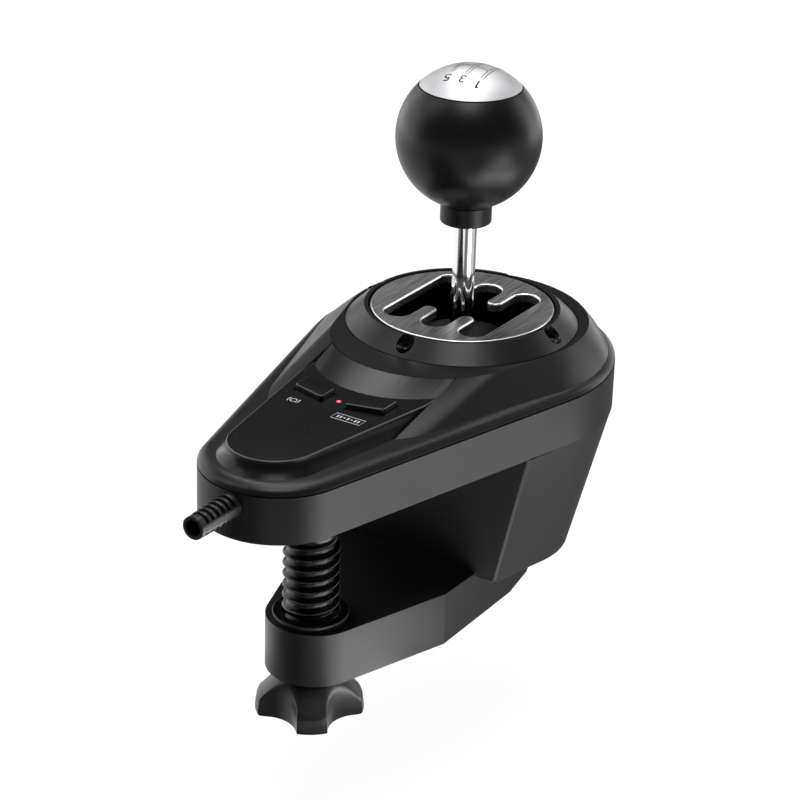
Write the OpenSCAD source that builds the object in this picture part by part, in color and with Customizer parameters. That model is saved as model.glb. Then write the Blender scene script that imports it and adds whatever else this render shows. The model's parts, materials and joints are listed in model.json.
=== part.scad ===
// Desk-clamped gear shifter with an H-pattern gate, a tilting lever and a screw clamp.
// +Z is up and +Y runs from the cable end to the round lever end. The origin lies on the
// clamp screw's axis, on the flat face that rests on the desk.

/* [Housing] */
// Distance from the clamp screw's axis back to the lever's axis
lever_y = 90.6; // [88:0.2:100]
// Radius of the round end
round_r = 54.3; // [53.3:0.1:57]
// Radius of the nose
nose_r = 25.9; // [24.5:0.1:28]
// Distance from the clamp screw's axis forward to the centre of the nose
nose_ahead = 19.6; // [18:0.2:24]
// Height of the lower band
band_h = 16.4; // [16:0.2:20]
// Wall of the moulded shells
wall = 2.6; // [2.2:0.1:3]
// Floor of the lower shell
floor_t = 3; // [2.6:0.1:3.6]
// Clearance around pieces that drop into a moulded pocket
fit_gap = 0.3; // [0.2:0.05:0.4]

/* [Top cover] */
// Height of the rounded rim above the parting line
rim_h = 3.6; // [3.4:0.1:5]
// Distance that the rim rounds inwards
rim_inset = 5.3; // [4.6:0.1:6]
// Depth of the shadow groove along the parting line
groove = 0.6; // [0.4:0.1:0.8]
// Height of the dome above the ledge
dome_h = 8.3; // [8:0.1:10]
// Radius of the dome's flat top round the lever
dome_top_r = 42.6; // [42.4:0.1:45]
// Distance from the lever's axis back to the centre of the flat top's rear
dome_back = 4; // [2:0.5:5]
// Radius of the front of the flat top
dome_front_r = 36.4; // [35:0.2:38]
// Distance from the lever's axis forward to the centre of the flat top's front
dome_front_ahead = 17.2; // [16:0.2:19]
// Radius of the dome's foot at its front
foot_front_r = 33.5; // [31:0.5:35]
// Distance from the lever's axis forward to the centre of the foot's front
foot_front_ahead = 59; // [56:0.5:62]
// Thickness of the cover's roof
roof_t = 2.4; // [2:0.1:2.8]

/* [Control panel] */
// Height of the panel's flat top above the ledge
panel_h = 5; // [4.6:0.1:5.6]
// Radius of the panel's nose
panel_nose_r = 15.4; // [14:0.2:17]
// Distance from the clamp screw's axis forward to the centre of the panel's nose
panel_nose_ahead = 21.6; // [20:0.2:23]
// Radius that the panel's sides run out to
panel_rear_r = 27; // [26:0.2:28]
// Distance that the panel's sides flare at the ledge
panel_flare = 3.2; // [2.4:0.1:3.6]
// Half the width between the dome's two fenders
panel_half_w = 24.6; // [24:0.1:25.4]
// Length of the ramp from the panel up to the dome's flat top
ramp_len = 12.8; // [11:0.2:14]
// Thickness of the panel's skin
panel_t = 1.8; // [1.5:0.1:2]

/* [Buttons] */
// Height that the buttons stand above the panel
button_rise = 2; // [1.6:0.1:2.6]
// Travel of the buttons
button_travel = 1; // [0.6:0.1:1]
// Half the gap between the two buttons
button_inner = 4.6; // [4.2:0.1:5.6]
// Distance from the middle to a button's outer side
button_outer = 17.4; // [16:0.1:18.4]
// Distance from the clamp screw's axis back to the buttons' front corner
button_front = 10.8; // [9.6:0.2:11.4]
// Distance that a button's front edge runs back at its outer side
button_rake = 3.4; // [2.4:0.2:4.4]
// Radius of the light pipe
led_r = 0.9; // [0.7:0.1:1.4]

/* [Gate] */
// Radius of the gate plate
plate_r = 32; // [31.4:0.1:33]
// Thickness of the gate plate
plate_t = 3; // [2.4:0.1:3]
// Height of the gate plate's top above the dome's flat top
plate_rise = 5.5; // [5:0.1:6]
// Outer radius of the gate ring
ring_r = 40.6; // [39.8:0.1:41.6]
// Width of the shadow gap round the plate
ring_gap = 1; // [0.6:0.1:1.2]
// Width of each gear slot
slot_w = 10; // [9.6:0.1:10.4]
// Distance between neighbouring slots
slot_pitch = 15.25; // [15:0.05:15.5]
// Distance from the lever to the end of a slot
slot_reach = 22.4; // [22.2:0.1:22.8]
// Half the width of the neutral channel
channel_half = 7; // [6:0.1:7.6]
// Radius of the circle that the ring screws sit on
ring_screw_r = 36.3; // [36:0.1:36.8]

/* [Lever] */
// Diameter of the lever's rod
rod_d = 8; // [7.4:0.1:8.2]
// Depth of the lever's pivot below the desk face
pivot_depth = 20; // [18:0.5:22]
// Radius of the knob
knob_r = 25; // [22:0.5:28]
// Height of the knob's centre above the desk face
knob_z = 95.6; // [92:0.2:104]
// Height of the cap's rim above the knob's centre
cap_rim = 17.6; // [16:0.2:19]
// Radius of the knob's collar
collar_r = 8.9; // [8:0.1:10]
// Length of the collar below the knob
collar_len = 7; // [5:0.2:10]
// Depth of the dust shield's top below the plate's top
shield_depth = 9; // [8.6:0.2:10]
// Half the angle that the dust shield spans
shield_angle = 22; // [18:1:26]

/* [Clamp] */
// Height of the desk throat
throat_h = 48; // [47:0.5:54]
// Thickness of the lower arm
arm_t = 19.6; // [18:0.2:22]
// Radius of the arm's nose
arm_nose_r = 16.7; // [15.7:0.1:18]
// Distance from the screw's axis back to the centre of the arm's nose
arm_nose_back = 2.4; // [0:0.2:4]
// Distance from the screw's axis back to the bend in the arm's sides
arm_bend_y = 38.3; // [36:0.2:42]
// Half the width of the arm at that bend
arm_bend_w = 29.4; // [28:0.2:31]
// Half the width of the arm under the rear block
arm_root_w = 30.6; // [29.8:0.1:32]
// Distance from the arm's top down to the rear end of the block
block_drop = 8; // [7.5:0.5:10]
// Radius of the rear block at its bottom
block_foot_r = 40.5; // [39.5:0.1:42]
// Wall of the rear block
block_wall = 3; // [2.6:0.1:3.4]
// Diameter of the clamp screw
screw_d = 19.4; // [18:0.2:20]
// Lift of the clamp screw in one turn
screw_pitch = 4; // [3:0.5:6]
// Radius of the pressure pad
pad_r = 9; // [8:0.1:9.4]
// Height of the pressure pad
pad_h = 9; // [7:0.5:10]
// Gap left over the pressure pad when the clamp is closed
pad_gap = 4; // [3.5:0.5:5]
// Radius of the star knob over its lobes
star_r = 18.6; // [17.6:0.2:22]
// Height of the star knob
star_h = 14; // [13:0.2:18]
// Number of lobes on the star knob
star_lobes = 4; // [4:1:5]
// Radius of the scallops between the lobes
scallop_r = 11; // [9:0.5:11.5]

/* [Cable exit] */
// Height of the cable boot above the desk face
boot_z = 11.6; // [10.6:0.1:11.8]
// Length of the cable boot outside the housing
boot_len = 19; // [16:0.5:26]
// Radius of the cable boot at the housing
boot_r = 4.5; // [4.4:0.1:4.8]
// Radius of the cable's hole
cable_r = 2.8; // [2.4:0.1:2.9]
// Number of grooves on the cable boot
boot_grooves = 6; // [4:1:8]

/* [Hidden] */
$fn = 96;
// Overlap that keeps a cut from ending on the face it goes through
past = 1;
// Radial clearance of a shaft that turns in its bore
run_gap = 0.05;
// Radial clearance of a press fit inside one body
press_gap = 0.02;
// Points along each arc of a lofted outline
arc_n = 30;
// Inset of straight sides that run into an arc, so that they cross it cleanly
tuck = 0.01;

// Levels that the pieces share
ledge_z = band_h + rim_h;
dome_z = ledge_z + dome_h;
plate_z = dome_z + plate_rise;
panel_z = ledge_z + panel_h;
ledge_roof = roof_t - 0.2;
arm_z = -throat_h;
arm_bottom = arm_z - arm_t;
block_h = throat_h + block_drop;
block_z = -block_h;
pivot_z = -pivot_depth;

// Plan places that the pieces share
nose_y = -nose_ahead;
panel_nose_y = -panel_nose_ahead;
panel_rear_y = lever_y - dome_front_ahead - dome_front_r + 8;
dome_front_y = lever_y - dome_front_ahead;
foot_front_y = lever_y - foot_front_ahead;
dome_foot_r = round_r - 1;
dome_curve = 1.3;
// The ramp's foot is a tighter arc than its top, and both meet the fenders
ramp_foot_r = dome_front_r - 4.4;
ramp_foot_y = dome_front_y - dome_front_r - ramp_len + ramp_foot_r;
boot_y = nose_y - nose_r;

// Board, switches and buttons under the panel
window_w = 17;
window_y0 = -13;
window_y1 = 25;
board_t = 1.6;
board_z = ledge_z - 1.4;
board_gap = 1;
panel_roof_z = panel_z - panel_t;
flange_t = 0.8;
flange_w = 0.8;
button_z = panel_roof_z - 0.2 - flange_t;
switch_h = button_z - button_travel - 0.1 - board_z;
switch_w = 6;
switch_x = (button_inner + button_outer) / 2;
switch_y = button_front + 5.6;
// Distance from the buttons back to the ramp's foot
button_back = 5.5;
led_y = button_front + 3.7;
post_r = 2.2;
post_ys = [-8, 5];

// Gimbal below the gate, with offsets measured from the lever's axis
hub_r = 8;
hub_up = 11;
yoke_x = 14;
yoke_y = 18;
yoke_z = 6;
yoke_window_x = hub_r + 0.4;
yoke_window_y = 14;
trunnion_r = 4;
sensor_shaft_r = 3;
pin_r = 3;
post_w = 9;
front_post = [-24, -18.5];
rear_post = [26.5, 32];
spring_y = [18.8, 26.2];
spring_wire = 1.2;
spring_r = 6;
spring_turns = 4;
spring_rings = 10;
spring_sides = 6;
sensor_r = 8;
sensor_len = 7;
shift_sensor_len = 7;
// The bracket's floor lies below everything that swings over it
swing_gap = 6.4;
bracket_z = pivot_z - norm([hub_r, hub_up]) - swing_gap;
bracket_t = 4;
bracket_bottom = bracket_z - bracket_t;
bracket_boss_h = 2.5;
bracket_screw_len = bracket_t + bracket_boss_h + 2;
bracket_w = 15;
bracket_screw_x = 11;
bracket_screw_ys = [-16, 22];
boss_r = 4;

// Small fasteners
m3_r = 1.5;
m3_head_r = 2.75;
m3_head_h = 2;
m3_hole_r = m3_r + 0.05;
screw_sink = 0.6;
low_head_h = 1;
cover_screw_places = [[-13, -31], [13, -31], [-29, 38], [29, 38]];
cover_post_r = 4;
frame_screw_r = round_r - wall - 5;
frame_screw_angles = [35, 90, 145, -14, 194];
// The bosses end above the rear sensor
frame_boss_h = pivot_depth - sensor_r - 1;
frame_screw_len = floor_t + frame_boss_h - 3;

// Ring and plate
ring_in_r = plate_r - 3;
ring_land = 1.2;
ring_top_z = plate_z + 0.2;
ring_sink = 0.8;
ring_seam = 0.5;
ring_seat = 1;
ring_screw_len = 6;
ring_boss_h = ring_screw_len + 2;
plate_bottom = plate_z - plate_t;
cover_hole_r = ring_in_r + 2;
cover_well_r = dome_top_r - 4;
base_opening_r = round_r - 10;
finger_r = (slot_pitch - slot_w) / 2;

// Clamp
nut_r = 12;
nut_flange_r = 13;
nut_flange_t = 2;
nut_depth = arm_t - 4;
screw_r = screw_d / 2;
pad_top = -pad_gap;
screw_top = pad_top - pad_h;
pad_pivot_r = 4;
pad_pivot_h = 4;
star_top = arm_bottom - 2.8;
star_bottom = star_top - star_h;
star_neck_r = 6;
star_neck_h = 9;
star_face_h = 7;
star_hub_r = 11;
star_dish_r = 9;
star_turn = -52.5;
star_draft = 0.8;
scallop_out = 0.4;
jaw_w = 17;
jaw_y0 = -26;
jaw_y1 = 44;
jaw_t = 1.6;
jaw_corner_r = 6;
// The block's front corners follow its radius at the top and at the foot
block_top_r = round_r - 0.1;
block_top_w = 0.89 * round_r;
block_top_y = lever_y - 0.597 * round_r;
block_foot_w = 0.9 * block_foot_r;
block_foot_y = lever_y - 0.828 * block_foot_r;
block_corner_r = 1.5;
block_edge_r = 1.2;
// Rise of the block's bottom from its rear to its front
block_tilt = 6;
block_rear_y = lever_y + block_foot_r;
hollow_z = bracket_bottom - bracket_boss_h;
// The arm's underside rises to the block in three slopes and ends under it
arm_heel_y = lever_y + 8.4;
arm_heel_z = block_floor(arm_heel_y) - 0.6;
arm_rise = arm_heel_z - arm_bottom;

// Knob
collar_z = knob_z - sqrt(knob_r * knob_r - collar_r * collar_r);
cap_seam = 0.2;
cap_spigot_r = 10;
cap_spigot_h = 4;
rod_top = knob_z - 8;

// Cable boot
boot_tip_r = boot_r - 0.6;
boot_barrel_r = boot_r - 0.7;
boot_flange_r = min(boot_r, band_h - boot_z - 0.4);
boot_flange_t = 2;
nose_in_r = nose_r - wall;
// The flange is flat and the wall is round, so the flange stands back by the wall's sag
boot_seat = wall + nose_in_r - sqrt(nose_in_r * nose_in_r - boot_flange_r * boot_flange_r);
boot_groove_w = 1.5;
boot_first_groove = 2.2;
boot_skin = 0.5;
boot_spine = 1.5;
boot_groove_pitch = (boot_len - boot_first_groove - 0.9) / boot_grooves;

// Outlines in plan

// Angle of the straight sides of two circles joined by tangents
function taper(y1, r1, y2, r2) = asin((r2 - r1) / (y2 - y1));

// Angle on a circle at the origin where the tangent from a point to its right touches
function touch(p, r) = atan2(p[1], p[0]) + acos(r / norm(p));

// Points of two circles joined by tangents, as a ring at one height
function drop_ring(y1, r1, y2, r2, z) =
  let (a = taper(y1, r1, y2, r2))
  concat(
    [for (i = [0:arc_n]) let (t = -a + (180 + 2 * a) * i / arc_n)
      [r2 * cos(t), y2 + r2 * sin(t), z]],
    [for (i = [0:arc_n]) let (t = 180 + a + (180 - 2 * a) * i / arc_n)
      [r1 * cos(t), y1 + r1 * sin(t), z]]
  );

// Solid through a list of rings with equal counts, from the lowest to the highest
module loft(rings) {
  n = len(rings[0]);
  last = (len(rings) - 1) * n;
  sides = [for (k = [0:len(rings) - 2], i = [0:n - 1])
    let (a = k * n + i, b = k * n + (i + 1) % n)
    each [[a, a + n, b + n], [a, b + n, b]]];
  polyhedron(
    points = [for (r = rings) each r],
    faces = concat([[for (i = [0:n - 1]) i]], sides, [[for (i = [n - 1:-1:0]) last + i]]),
    convexity = 6
  );
}

// Two circles joined by tangents, drawn with true arcs
module drop(y1, r1, y2, r2) {
  a = taper(y1, r1, y2, r2);
  p1 = (r1 - tuck) * [cos(a), -sin(a)] + [0, y1];
  p2 = (r2 - tuck) * [cos(a), -sin(a)] + [0, y2];
  translate([0, y1]) circle(r = r1);
  translate([0, y2]) circle(r = r2);
  polygon([p1, p2, [-p2[0], p2[1]], [-p1[0], p1[1]]]);
}

// The housing's outline, drawn in by a distance
module housing_outline(inset) {
  drop(nose_y, nose_r - inset, lever_y, round_r - inset);
}

// Cylinder along Y between two places
module bar_y(r, y0, y1) {
  translate([0, y0, 0]) rotate([-90, 0, 0]) cylinder(r = r, h = y1 - y0);
}

// Cylinder along X between two places
module bar_x(r, x0, x1) {
  translate([x0, 0, 0]) rotate([0, 90, 0]) cylinder(r = r, h = x1 - x0);
}

// Moves the children to the lever's pivot
module at_pivot() {
  translate([0, lever_y, pivot_z]) children();
}

// Screw with a round head, its head's seat at the origin and its shank down
module screw(shank) {
  cylinder(r = m3_head_r, h = m3_head_h);
  translate([0, 0, -shank]) cylinder(r = m3_r, h = shank);
}

// Housing

// Lower shell: the band's wall and its floor
module base_shell() {
  color([0.10, 0.10, 0.11]) difference() {
    linear_extrude(band_h) housing_outline(0);
    translate([0, 0, floor_t]) linear_extrude(band_h) housing_outline(wall);
    translate([0, lever_y, -past]) cylinder(r = base_opening_r, h = floor_t + 2 * past);
    translate([0, boot_y - past, boot_z]) bar_y(boot_barrel_r + fit_gap, 0, wall + 2 * past);
    translate([0, 0, -past]) linear_extrude(jaw_t + past) jaw_outline(fit_gap);
    for (p = cover_screw_places) translate([p[0], p[1], 0]) cover_screw_hole();
    for (a = frame_screw_angles) frame_screw_at(a) translate([0, 0, -floor_t - past])
      cylinder(r = m3_hole_r, h = floor_t + 2 * past);
  }
}

// Place of one screw that holds the lower shell down on the rear block
module frame_screw_at(a) {
  translate([frame_screw_r * cos(a), lever_y + frame_screw_r * sin(a), floor_t]) children();
}

// Hole for a cover screw, with a recess for its head
module cover_screw_hole() {
  translate([0, 0, -past]) cylinder(r = m3_hole_r, h = floor_t + 2 * past);
  translate([0, 0, -past]) cylinder(r = m3_head_r + fit_gap, h = screw_sink + low_head_h + past);
}

// Top cover: the rounded rim, the ledge and the dome, open for the gate and the panel
module top_cover() {
  color([0.12, 0.12, 0.13]) difference() {
    union() {
      difference() {
        union() {
          rim_body();
          dome_body();
        }
        linear_extrude(ledge_z - ledge_roof) housing_outline(rim_inset + wall);
        translate([0, lever_y, 0]) cylinder(r = cover_well_r, h = dome_z - roof_t);
        panel_pocket();
      }
      for (p = cover_screw_places) translate([p[0], p[1], floor_t])
        cylinder(r = cover_post_r, h = ledge_z - ledge_roof - floor_t);
      for (k = [0:3]) ring_screw_at(k) translate([0, 0, -ring_boss_h])
        cylinder(r = m3_r + 2, h = ring_boss_h - ring_sink);
    }
    translate([0, lever_y, 0]) cylinder(r = cover_hole_r, h = dome_z + past);
    translate([0, lever_y, dome_z - ring_sink]) cylinder(r = ring_r + ring_seam, h = ring_sink + past);
    for (p = cover_screw_places) translate([p[0], p[1], 0])
      cylinder(r = m3_hole_r, h = ledge_z - 1);
    for (k = [0:3]) ring_screw_at(k) translate([0, 0, -ring_screw_len - 1])
      cylinder(r = m3_hole_r, h = ring_screw_len + 1 + past);
    translate([-window_w, window_y0, 0]) cube([2 * window_w, window_y1 - window_y0, ledge_z + past]);
  }
}

// The rim: a shadow groove, then a quarter round that draws the outline in
module rim_body() {
  steps = 5;
  loft(concat(
    [housing_ring(groove, band_h), housing_ring(groove, band_h + groove)],
    [for (k = [0:steps]) let (t = 90 * k / steps)
      housing_ring(rim_inset * (1 - cos(t)), band_h + groove + (rim_h - groove) * sin(t))]
  ));
}

// Ring of the housing's outline, drawn in by a distance
function housing_ring(inset, z) = drop_ring(nose_y, nose_r - inset, lever_y, round_r - inset, z);

// The dome: round and full at the lever's end, a long slope towards the nose
module dome_body() {
  steps = 8;
  z0 = band_h + groove;
  loft([for (k = [0:steps])
    let (z = z0 + (dome_z - z0) * k / steps)
    let (h = (z - z0) / (dome_z - z0))
    let (f = max(0, (z - ledge_z) / dome_h))
    drop_ring(
      foot_front_y + (dome_front_y - foot_front_y) * f,
      foot_front_r + (dome_front_r - foot_front_r) * f,
      lever_y + dome_back * f,
      dome_foot_r - (dome_foot_r - dome_top_r) * pow(h, dome_curve),
      z
    )
  ]);
}

// Pocket in the dome's front that the control panel drops into
module panel_pocket() {
  w = panel_half_w + fit_gap;
  translate([0, 0, ledge_z]) linear_extrude(dome_h + past) difference() {
    translate([-w, panel_nose_y]) square([2 * w, dome_front_y - panel_nose_y]);
    translate([0, dome_front_y]) circle(r = dome_front_r - fit_gap);
  }
}

// Control panel: a flat top with flared sides and a ramp up to the dome
module control_panel() {
  color([0.07, 0.07, 0.08]) difference() {
    union() {
      difference() {
        intersection() {
          panel_body();
          translate([0, 0, ledge_z]) linear_extrude(2 * dome_h) panel_reach();
        }
        translate([0, 0, ledge_z - past]) linear_extrude(panel_h - panel_t + past) panel_hollow();
      }
      for (y = post_ys) translate([0, y, board_z]) cylinder(r = post_r, h = panel_roof_z - board_z + 0.5);
    }
    for (s = [-1, 1]) translate([0, 0, ledge_z]) linear_extrude(dome_h) button_outline(s, fit_gap);
    translate([0, led_y, ledge_z]) cylinder(r = led_r + run_gap, h = dome_h);
  }
}

// The panel's sides and flat top, joined to the ramp
module panel_body() {
  steps = 4;
  loft([for (k = [-1:steps])
    let (h = k / steps)
    let (out = panel_flare * (1 - max(h, 0)) * (1 - max(h, 0)))
    drop_ring(panel_nose_y, panel_nose_r + out, panel_rear_y, panel_rear_r + out, ledge_z + panel_h * h)
  ]);
  ramp_body();
}

// The ramp: its foot and its top are arcs across the panel
module ramp_body() {
  steps = 16;
  w = panel_half_w + past;
  low = ledge_z - past;
  loft([for (k = [0:steps])
    let (x = -w + 2 * w * k / steps)
    let (foot = ramp_foot_y - sqrt(ramp_foot_r * ramp_foot_r - x * x))
    let (top = dome_front_y - sqrt(dome_front_r * dome_front_r - x * x))
    [[x, foot, low], [x, top, low], [x, top, dome_z], [x, foot, panel_z - tuck]]
  ]);
}

// Plan of the room between the fenders, ahead of the dome's flat top
module panel_reach() {
  front = nose_y - nose_r;
  difference() {
    translate([-panel_half_w, front]) square([2 * panel_half_w, dome_front_y - front]);
    translate([0, dome_front_y]) circle(r = dome_front_r + 5 * tuck);
  }
}

// Plan of the space under the panel's skin
module panel_hollow() {
  difference() {
    drop(panel_nose_y, panel_nose_r - panel_t, panel_rear_y, panel_rear_r - panel_t);
    translate([0, ramp_foot_y]) circle(r = ramp_foot_r);
  }
}

// Plan of one button, grown by a clearance; side is 1 on the right and -1 on the left
module button_outline(side, grow) {
  mirror([side < 0 ? 1 : 0, 0]) difference() {
    polygon([
      [button_inner - grow, button_front - grow],
      [button_outer + grow, button_front + button_rake - grow],
      [button_outer + grow, dome_front_y - dome_front_r],
      [button_inner - grow, dome_front_y - dome_front_r]
    ]);
    translate([0, ramp_foot_y]) circle(r = ramp_foot_r + button_back - grow);
  }
}

// One push button with its retaining flange
module button(side) {
  color([0.09, 0.09, 0.10]) {
    translate([0, 0, button_z]) linear_extrude(panel_z + button_rise - button_z) button_outline(side, 0);
    translate([0, 0, button_z]) linear_extrude(flange_t) button_outline(side, flange_w);
  }
}

module button_left() {
  button(-1);
}

module button_right() {
  button(1);
}

// Circuit board under the panel
module panel_board() {
  color([0.05, 0.30, 0.12]) translate([-window_w + board_gap, window_y0 + board_gap, board_z - board_t])
    cube([2 * (window_w - board_gap), window_y1 - window_y0 - 2 * board_gap, board_t]);
}

// Two tact switches on the board
module tact_switches() {
  color([0.75, 0.75, 0.72]) for (s = [-1, 1]) translate([s * switch_x, switch_y, board_z]) {
    translate([-switch_w / 2, -switch_w / 2, 0]) cube([switch_w, switch_w, switch_h * 0.7]);
    cylinder(r = switch_w / 4, h = switch_h);
  }
}

// Light pipe from the board up through the panel
module light_pipe() {
  color([0.9, 0.1, 0.1]) translate([0, led_y, board_z]) cylinder(r = led_r, h = panel_z + 0.2 - board_z);
}

// Gate

// Place of one of the four ring screws, on the dome's flat top
module ring_screw_at(k) {
  translate([ring_screw_r * cos(90 * k), lever_y + ring_screw_r * sin(90 * k), dome_z]) children();
}

// Conical ring that holds the gate plate
module gate_ring() {
  color([0.13, 0.13, 0.14]) difference() {
    translate([0, lever_y, 0]) rotate_extrude() polygon([
      [ring_in_r, dome_z - ring_sink], [ring_r, dome_z - ring_sink], [ring_r, dome_z],
      [plate_r + ring_gap + ring_land, ring_top_z], [plate_r + ring_gap, ring_top_z],
      [plate_r + ring_gap, plate_bottom], [ring_in_r, plate_bottom]
    ]);
    for (k = [0:3]) ring_screw_at(k) {
      translate([0, 0, -past]) cylinder(r = m3_hole_r, h = plate_rise + past);
      translate([0, 0, ring_seat]) cylinder(r = m3_head_r + fit_gap, h = plate_rise);
    }
  }
}

// Four screws through the ring
module ring_screws() {
  color([0.05, 0.05, 0.05]) for (k = [0:3]) ring_screw_at(k) translate([0, 0, ring_seat])
    screw(ring_screw_len);
}

// Plan of the H-shaped opening: three slots, a neutral channel and rounded fingers
module gate_opening() {
  difference() {
    union() {
      for (c = [-1:1], s = [-1, 1]) {
        translate([c * slot_pitch, s * (slot_reach - slot_w / 2)]) circle(r = slot_w / 2);
      }
      for (c = [-1:1]) translate([c * slot_pitch - slot_w / 2, -slot_reach + slot_w / 2])
        square([slot_w, 2 * slot_reach - slot_w]);
      square([2 * slot_pitch + slot_w, 2 * (channel_half + finger_r)], center = true);
    }
    for (c = [-1, 1], s = [-1, 1]) translate([c * slot_pitch / 2, s * (channel_half + finger_r)])
      circle(r = finger_r);
  }
}

// Metal plate with the shift pattern cut through it
module gate_plate() {
  color([0.35, 0.35, 0.36]) translate([0, lever_y, plate_bottom]) linear_extrude(plate_t) difference() {
    circle(r = plate_r);
    gate_opening();
  }
}

// Gimbal

// Bracket with two posts that carry the yoke
module pivot_bracket() {
  color([0.55, 0.56, 0.58]) translate([0, lever_y, 0]) difference() {
    union() {
      translate([-bracket_w, front_post[0], bracket_bottom])
        cube([2 * bracket_w, rear_post[1] - front_post[0], bracket_t]);
      for (p = [front_post, rear_post]) {
        translate([-post_w, p[0], bracket_z]) cube([2 * post_w, p[1] - p[0], pivot_z - bracket_z]);
        translate([0, 0, pivot_z]) bar_y(post_w, p[0], p[1]);
      }
    }
    translate([0, 0, pivot_z]) bar_y(trunnion_r + run_gap, front_post[0] - past, rear_post[1] + past);
    for (x = [-1, 1], y = bracket_screw_ys) translate([x * bracket_screw_x, y, bracket_bottom - past])
      cylinder(r = m3_hole_r, h = bracket_t + 2 * past);
  }
}

// Four screws that hold the bracket down
module bracket_screws() {
  color([0.7, 0.7, 0.7]) for (x = [-1, 1], y = bracket_screw_ys)
    translate([x * bracket_screw_x, lever_y + y, bracket_z]) screw(bracket_screw_len);
}

// Yoke that tilts from side to side, with its trunnions and its sensor shaft
module select_yoke() {
  color([0.6, 0.6, 0.62]) at_pivot() difference() {
    union() {
      translate([-yoke_x, -yoke_y, -yoke_z]) cube([2 * yoke_x, 2 * yoke_y, 2 * yoke_z]);
      bar_y(trunnion_r, front_post[0] + 0.5, rear_post[1]);
      bar_y(sensor_shaft_r, rear_post[1] - past, rear_post[1] + sensor_len - 1);
    }
    translate([-yoke_window_x, -yoke_window_y, -yoke_z - past])
      cube([2 * yoke_window_x, 2 * yoke_window_y, 2 * yoke_z + 2 * past]);
    bar_x(pin_r + run_gap, -yoke_x - past, yoke_x + past);
  }
}

// Torsion spring round the rear trunnion that brings the lever back to the middle
module centring_spring() {
  n = spring_turns * spring_rings;
  lift = spring_y[1] - spring_y[0] - 2 * spring_wire;
  color([0.8, 0.8, 0.8]) at_pivot() loft([for (k = [0:n])
    let (a = 360 * k / spring_rings)
    let (y = spring_y[0] + spring_wire + lift * k / n)
    [for (i = [0:spring_sides - 1])
      let (b = 360 * i / spring_sides)
      let (r = spring_r + spring_wire / 2 * cos(b))
      [r * cos(a), y + spring_wire / 2 * sin(b), r * sin(a)]]
  ]);
}

// Rotary sensor on the rear post
module select_sensor() {
  color([0.1, 0.1, 0.3]) at_pivot() difference() {
    bar_y(sensor_r, rear_post[1], rear_post[1] + sensor_len);
    bar_y(sensor_shaft_r + run_gap, rear_post[1] - past, rear_post[1] + sensor_len - 0.7);
  }
}

// Rotary sensor on the yoke's side
module shift_sensor() {
  color([0.1, 0.1, 0.3]) at_pivot() difference() {
    bar_x(sensor_r - 2, yoke_x, yoke_x + shift_sensor_len);
    bar_x(pin_r + run_gap, yoke_x - past, yoke_x + shift_sensor_len - 0.7);
  }
}

// Cross pin that the lever tilts on, fore and aft
module shift_pin() {
  color([0.7, 0.7, 0.7]) at_pivot() bar_x(pin_r, -yoke_x, yoke_x + shift_sensor_len - 1);
}

// Hub at the foot of the rod
module lever_hub() {
  color([0.6, 0.6, 0.62]) at_pivot() difference() {
    translate([0, 0, -hub_up]) cylinder(r = hub_r, h = 2 * hub_up);
    bar_x(pin_r + press_gap, -hub_r - past, hub_r + past);
  }
}

// Lever

module shift_rod() {
  color([0.85, 0.85, 0.86]) translate([0, lever_y, pivot_z + hub_up])
    cylinder(r = rod_d / 2, h = rod_top - pivot_z - hub_up);
}

// Part of a ball round the pivot that keeps dust out of the gate
module dust_shield() {
  out = plate_z - shield_depth - pivot_z;
  thick = 1.2;
  color([0.2, 0.2, 0.21]) at_pivot() rotate_extrude() difference() {
    intersection() {
      circle(r = out);
      polygon([[0, 0], [2 * out * sin(shield_angle), 2 * out * cos(shield_angle)], [0, 2 * out]]);
    }
    circle(r = out - thick);
    translate([0, -out]) square([rod_d / 2 + press_gap, 3 * out]);
  }
}

module knob_collar() {
  color([0.06, 0.06, 0.06]) translate([0, lever_y, collar_z - collar_len]) difference() {
    cylinder(r = collar_r, h = collar_len);
    translate([0, 0, -past]) cylinder(r = rod_d / 2 + press_gap, h = collar_len + 2 * past);
  }
}

// Ball with a flat seat for the cap and a socket for the rod
module knob_body() {
  color([0.05, 0.05, 0.05]) translate([0, lever_y, 0]) difference() {
    translate([0, 0, knob_z]) sphere(r = knob_r);
    translate([-knob_r, -knob_r, knob_z + cap_rim]) cube([2 * knob_r, 2 * knob_r, knob_r]);
    translate([-knob_r, -knob_r, collar_z - 2 * knob_r]) cube(2 * knob_r);
    translate([0, 0, knob_z - knob_r - past]) cylinder(r = rod_d / 2 + press_gap, h = rod_top - knob_z + knob_r + past);
    translate([0, 0, knob_z + cap_rim - cap_spigot_h]) cylinder(r = cap_spigot_r, h = cap_spigot_h + past);
  }
}

// Metal cap that completes the ball
module knob_cap() {
  color([0.75, 0.75, 0.76]) translate([0, lever_y, 0]) {
    intersection() {
      translate([0, 0, knob_z]) sphere(r = knob_r);
      translate([0, 0, knob_z + cap_rim + cap_seam]) cylinder(r = knob_r, h = knob_r);
    }
    translate([0, 0, knob_z + cap_rim - cap_spigot_h])
      cylinder(r = cap_spigot_r - press_gap, h = cap_spigot_h + cap_seam + 0.5);
  }
}

// Clamp

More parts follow.
